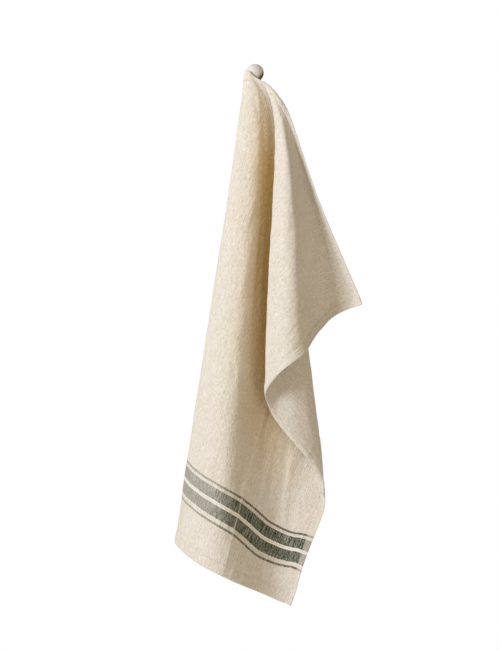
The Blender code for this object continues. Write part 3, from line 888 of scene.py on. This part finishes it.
def stacked(border, along):
    """How much higher a hem lies where it is turned over the side hems, at the corners."""
    if border.width == SIDE_HEM:
        return np.zeros(len(along))
    from_end = np.minimum(along, border.length - along)
    return STACKED_HEIGHT * np.clip((SIDE_HEM + STACKED_PAST - from_end) / STACKED_SLOPE, 0, 1)


def hem_strip(border):
    """Where the turned-over part of a hem lies: u, v, height and how far beyond the cloth's edge."""
    along = spread((0, border.length, HEM_STEP))
    u, v, lift, beyond = [], [], [], []
    for share, further, height in HEM_PROFILE:
        inward = np.full(len(along), share * border.width + further)
        places = border.place(along, np.maximum(inward, 0.0))
        u.append(places[0])
        v.append(places[1])
        rises = 1.0 if height > 0 else 0.0
        pressed = 1 - PRESSED_FLAT * rises * bunched(*places)
        lift.append(height * pressed + rises * stacked(border, along))
        beyond.append(np.maximum(-inward, 0.0))
    faces = grid_faces(len(HEM_PROFILE), len(along))
    if border.turned:
        faces = [face[::-1] for face in faces]
    return [np.concatenate(part) for part in (u, v, lift, beyond)] + [faces]


def outwards(border, u, v):
    """The direction in the cloth that leads straight out over a border."""
    along = v if border.width == SIDE_HEM else u
    edge = hanging_place(*border.place(along, np.zeros(len(along))))
    inside = hanging_place(*border.place(along, np.ones(len(along))))
    return (edge - inside) / np.maximum(np.linalg.norm(edge - inside, axis=1), 1e-9)[:, None]


turned_linen = woven_linen("turned-over linen", HEM_BAND)
for border in BORDERS:
    u, v, lift, beyond, faces = hem_strip(border)
    strip = linen_piece(border.name, u, v, lift, faces, outwards(border, u, v) * beyond[:, None])
    strip.data.materials.append(turned_linen)
    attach(strip, "root")


# ---------------------------------------------------------------------------------------------
# The seams. A line of machine stitches in undyed cotton thread holds each hem, near its inner edge,
# and shows on the front and on the back of the cloth.
# ---------------------------------------------------------------------------------------------

STITCH_PITCH = 3.2
STITCH_LENGTH = 2.5
STITCH_WIDTH = 0.55
STITCH_TOP, STITCH_UNDERSIDE, STITCH_SIDES = 0.38, -0.1, 0.1   # their heights

# A stitch is a small lozenge of thread, pulled in at both ends. Its points, as the distance ahead,
# aside and up from its middle, are one end, the two sides, the top, the underside and the other end.
STITCH_POINTS = [
    (-STITCH_LENGTH / 2, 0.0, 0.0),
    (0.0, STITCH_WIDTH / 2, STITCH_SIDES),
    (0.0, -STITCH_WIDTH / 2, STITCH_SIDES),
    (0.0, 0.0, STITCH_TOP),
    (0.0, 0.0, STITCH_UNDERSIDE),
    (STITCH_LENGTH / 2, 0.0, 0.0),
]
STITCH_FACES = [(0, 1, 3), (0, 3, 2), (0, 2, 4), (0, 4, 1), (5, 3, 1), (5, 2, 3), (5, 4, 2), (5, 1, 4)]

# The cloth's two sides: which way a stitch stands out there, and the height of what it lies on.
Side = namedtuple("Side", "name outwards height")
SIDES = [Side("front", 1, 1.0), Side("back", -1, -0.4)]


def stitch_line(border, side):
    """The stitches along a hem, on one side of the cloth: u, v, height and faces."""
    middles = np.arange(STITCH_PITCH, border.length - STITCH_PITCH, STITCH_PITCH)
    count = len(middles)
    surface = np.full(count, side.height)
    if side.name == "front":
        surface = surface + stacked(border, middles)
    u, v, lift = [], [], []
    for ahead, aside, up in STITCH_POINTS:
        places = border.place(middles + ahead, np.full(count, border.width - STITCH_IN + aside))
        u.append(places[0])
        v.append(places[1])
        lift.append(surface + side.outwards * up)
    faces = []
    for i in range(count):
        for a, b, c in STITCH_FACES:
            faces.append((a * count + i, b * count + i, c * count + i))
    return [np.concatenate(part) for part in (u, v, lift)] + [faces]


def sewing_thread():
    """Undyed cotton sewing thread, twisted and matt: a shade yellower and darker than the linen."""
    material = bpy.data.materials.new("cotton sewing thread")
    material.use_nodes = True
    shader = material.node_tree.nodes["Principled BSDF"]
    shader.inputs["Base Color"].default_value = linear("e2d7c3")
    shader.inputs["Roughness"].default_value = 0.8
    return material


cotton = sewing_thread()
for border in BORDERS:
    for side in SIDES:
        seam = linen_piece(border.name + "_seam_" + side.name, *stitch_line(border, side))
        seam.data.materials.append(cotton)
        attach(seam, "root")
